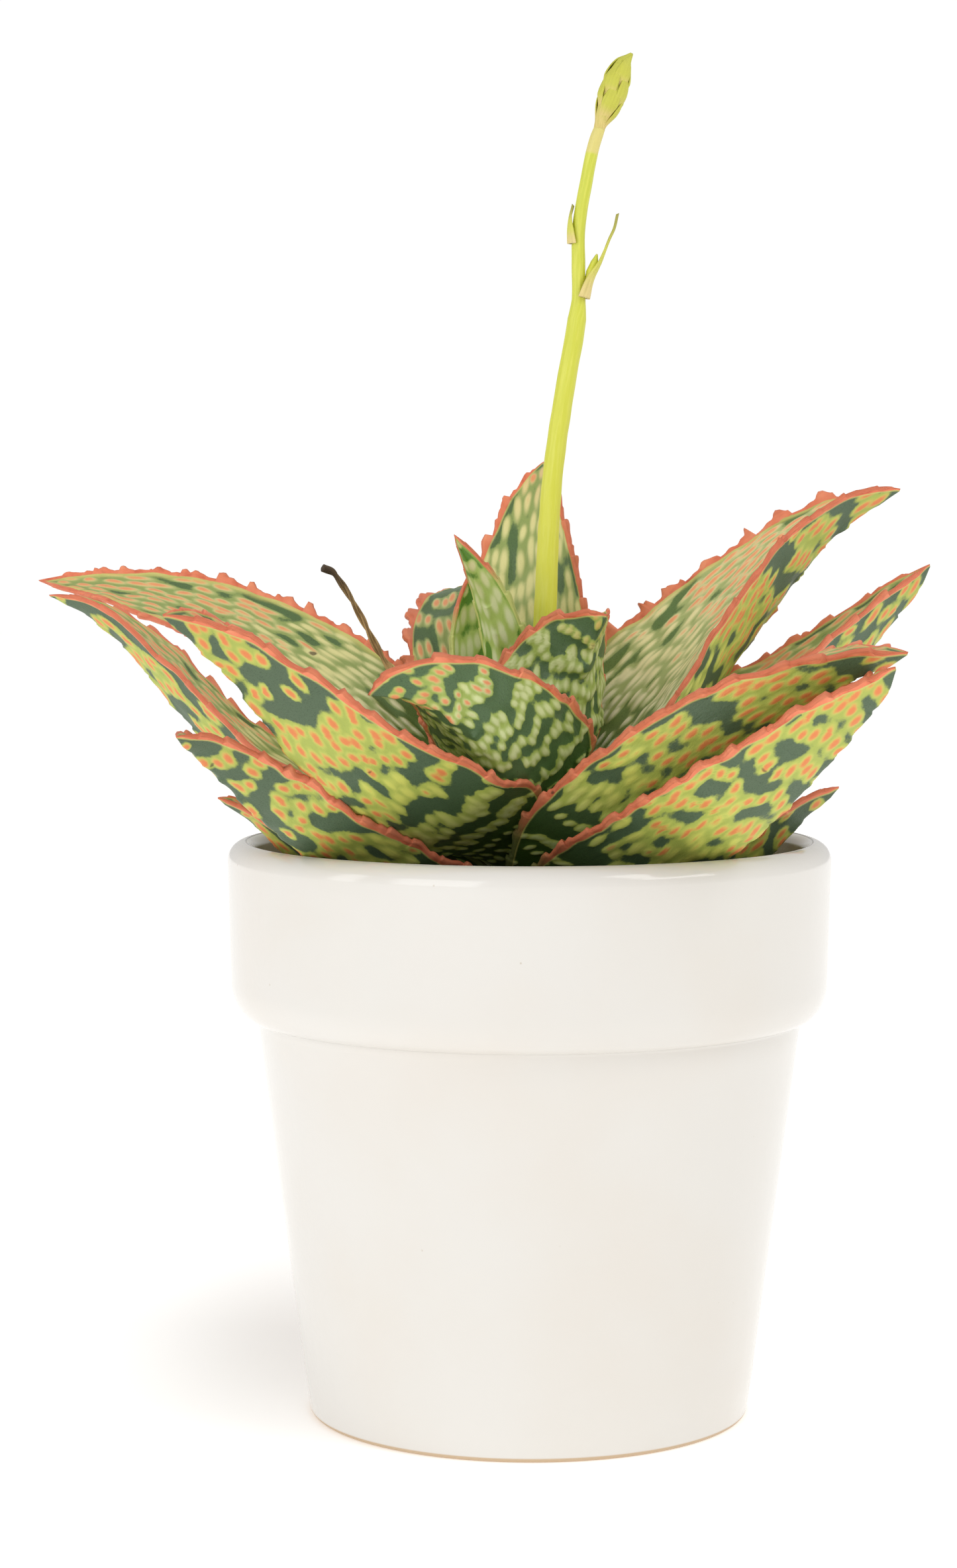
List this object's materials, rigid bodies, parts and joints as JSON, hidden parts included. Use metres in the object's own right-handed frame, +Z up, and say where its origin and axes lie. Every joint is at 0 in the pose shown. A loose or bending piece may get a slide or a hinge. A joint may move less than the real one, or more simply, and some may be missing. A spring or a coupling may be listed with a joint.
{
  "type": "potted star aloe",
  "caption": "Star-shaped rosette of channelled, toothed, spotted aloe leaves in flower, in a white glazed collar pot.",
  "frame": {"origin": "middle of the pot's flat underside, on the surface that it stands on", "axes": "+Z up along the pot's axis; -Y is the side that the picture shows; +X is its right"},
  "size_m": [0.2032, 0.1792, 0.2918],
  "materials": {
    "glazed_ceramic": "smooth glossy warm white glaze",
    "soil": "rough dark earth",
    "crown_skin": "dull pale brown stem skin",
    "leaf_skin": "firm waxy leaf, dark green ground, lime and salmon spots, salmon margins",
    "young_leaf_skin": "firm waxy leaf, bright green ground with cream spots",
    "flower_stalk_skin": "smooth satin yellow-green stem",
    "bract_skin": "dry satin yellow-green scales with tan bases",
    "dried_stalk_skin": "dry twisted brown strand"
  },
  "bodies": {
    "root": {"pot": "glazed_ceramic", "soil": "soil", "crown": "crown_skin", "leaf_left_rim": "leaf_skin", "leaf_right_rim": "leaf_skin", "leaf_left_low": "leaf_skin", "leaf_right_low": "leaf_skin", "leaf_left_outer": "leaf_skin", "leaf_back_low": "leaf_skin", "leaf_back_right": "leaf_skin", "leaf_right_front": "leaf_skin", "leaf_left_front": "leaf_skin", "leaf_back_middle": "leaf_skin", "leaf_right_middle": "leaf_skin", "leaf_back_left": "leaf_skin", "leaf_left_upper": "leaf_skin", "leaf_right_upper": "leaf_skin", "leaf_front_curled": "leaf_skin", "leaf_left_curled": "leaf_skin", "leaf_back_tall": "leaf_skin", "leaf_heart_right": "young_leaf_skin", "leaf_heart_left": "young_leaf_skin", "leaf_heart_front": "young_leaf_skin", "flower_stalk": "flower_stalk_skin", "bract_large": "bract_skin", "bract_small": "bract_skin", "flower_head": "bract_skin", "dried_stalk": "dried_stalk_skin"}
  },
  "joints": []
}
